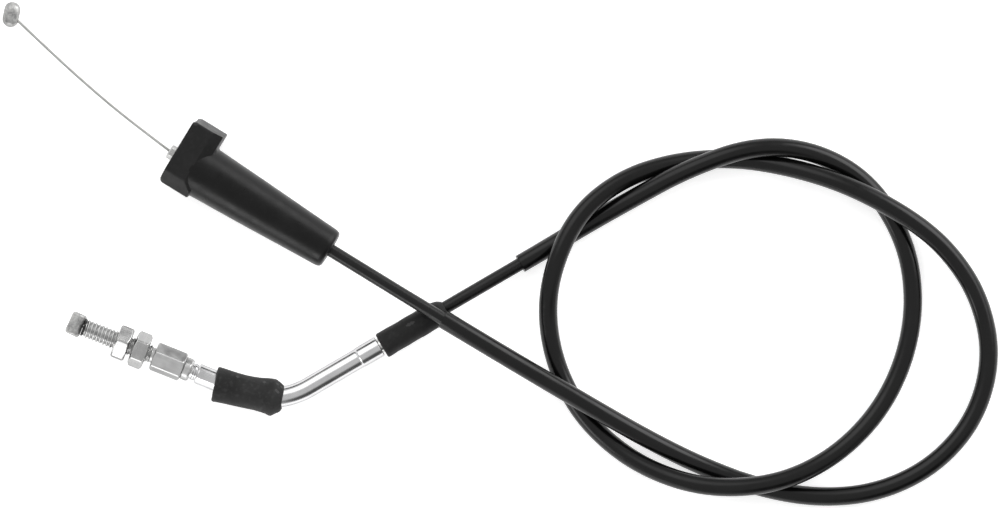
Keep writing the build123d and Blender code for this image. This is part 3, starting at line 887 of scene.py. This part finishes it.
def make_floor():
    """A lit white table, as for a catalogue picture."""
    mesh = bpy.data.meshes.new("floor")
    corners = [(-1, -1), (1, -1), (1, 1), (-1, 1)]
    mesh.from_pydata([(x * FLOOR_REACH, y * FLOOR_REACH, 0) for x, y in corners], [], [(0, 1, 2, 3)])
    floor = bpy.data.objects.new("floor", mesh)
    floor.location = (*VIEW_CENTRE, -FLOOR_GAP)
    bpy.context.scene.collection.objects.link(floor)
    n = Nodes("floor_paper")
    n.link(n.colours(n.noise(3, 3), (0.88, 0.88, 0.88), (0.90, 0.90, 0.90)), n.shader.inputs["Base Color"])
    n.shader.inputs["Roughness"].default_value = 0.9
    n.shader.inputs["Specular IOR Level"].default_value = 0.0
    n.shader.inputs["Emission Color"].default_value = (1, 1, 1, 1)
    n.shader.inputs["Emission Strength"].default_value = FLOOR_GLOW
    mesh.materials.append(n.material)


SKY_GLOW = (0.66, 0.70)  # low down and overhead
SKY_LIGHTS = (  # heading, height, radius where full, radius where it ends, all in degrees, and strength
    (38, 25, 15, 28, 3.6),
    (124, 46, 12, 32, 1.2),
    (238, 4, 5, 14, 1.2),
    (300, 27, 10, 30, -0.56),
)
SKY_LEAST = 0.05


def make_sky():
    """White light from all round, a little brighter above, with soft lights and one dim side."""
    world = bpy.data.worlds.new("studio")
    world.use_nodes = True
    bpy.context.scene.world = world
    tree = world.node_tree
    background = tree.nodes["Background"]
    background.inputs["Color"].default_value = (1, 1, 1, 1)
    ways = tree.nodes.new("ShaderNodeTexCoord").outputs["Generated"]

    def ramp(value, start, end, low, high):
        node = tree.nodes.new("ShaderNodeMapRange")
        node.interpolation_type = "SMOOTHSTEP"
        for key, number in (("From Min", start), ("From Max", end), ("To Min", low), ("To Max", high)):
            node.inputs[key].default_value = number
        tree.links.new(value, node.inputs["Value"])
        return node.outputs["Result"]

    def combined(operation, first, second):
        node = tree.nodes.new("ShaderNodeMath")
        node.operation = operation
        tree.links.new(first, node.inputs[0])
        if isinstance(second, float):
            node.inputs[1].default_value = second
        else:
            tree.links.new(second, node.inputs[1])
        return node.outputs[0]

    parts = tree.nodes.new("ShaderNodeSeparateXYZ")
    tree.links.new(ways, parts.inputs[0])
    total = ramp(parts.outputs["Z"], 0.50, 0.98, *SKY_GLOW)
    for heading, height, full, edge, strength in SKY_LIGHTS:
        level = math.cos(math.radians(height))
        aim = (level * math.cos(math.radians(heading)), level * math.sin(math.radians(heading)),
               math.sin(math.radians(height)))
        node = tree.nodes.new("ShaderNodeVectorMath")
        node.operation = "DOT_PRODUCT"
        node.inputs[1].default_value = aim
        tree.links.new(ways, node.inputs[0])
        start, end = math.cos(math.radians(edge)), math.cos(math.radians(full))
        total = combined("ADD", total, ramp(node.outputs["Value"], start, end, 0.0, strength))
    tree.links.new(combined("MAXIMUM", total, SKY_LEAST), background.inputs["Strength"])


SOFTBOX_AT, SOFTBOX_AIM = (-0.094, -0.205, 0.100), (-0.010, -0.020, 0.010)
SOFTBOX_SIZE, SOFTBOX_WATTS = (0.13, 0.10), 0.135


def make_softbox():
    """A small soft lamp low beside the boot and the fittings, out of the picture."""
    lamp = bpy.data.lights.new("softbox", "AREA")
    lamp.shape = "RECTANGLE"
    lamp.size, lamp.size_y = SOFTBOX_SIZE
    lamp.energy = SOFTBOX_WATTS
    piece = bpy.data.objects.new("softbox", lamp)
    piece.location = SOFTBOX_AT
    piece.rotation_euler = (Vector(SOFTBOX_AIM) - piece.location).to_track_quat("-Z", "Y").to_euler()
    piece.visible_camera = False
    bpy.context.scene.collection.objects.link(piece)


make_floor()
make_sky()
make_softbox()
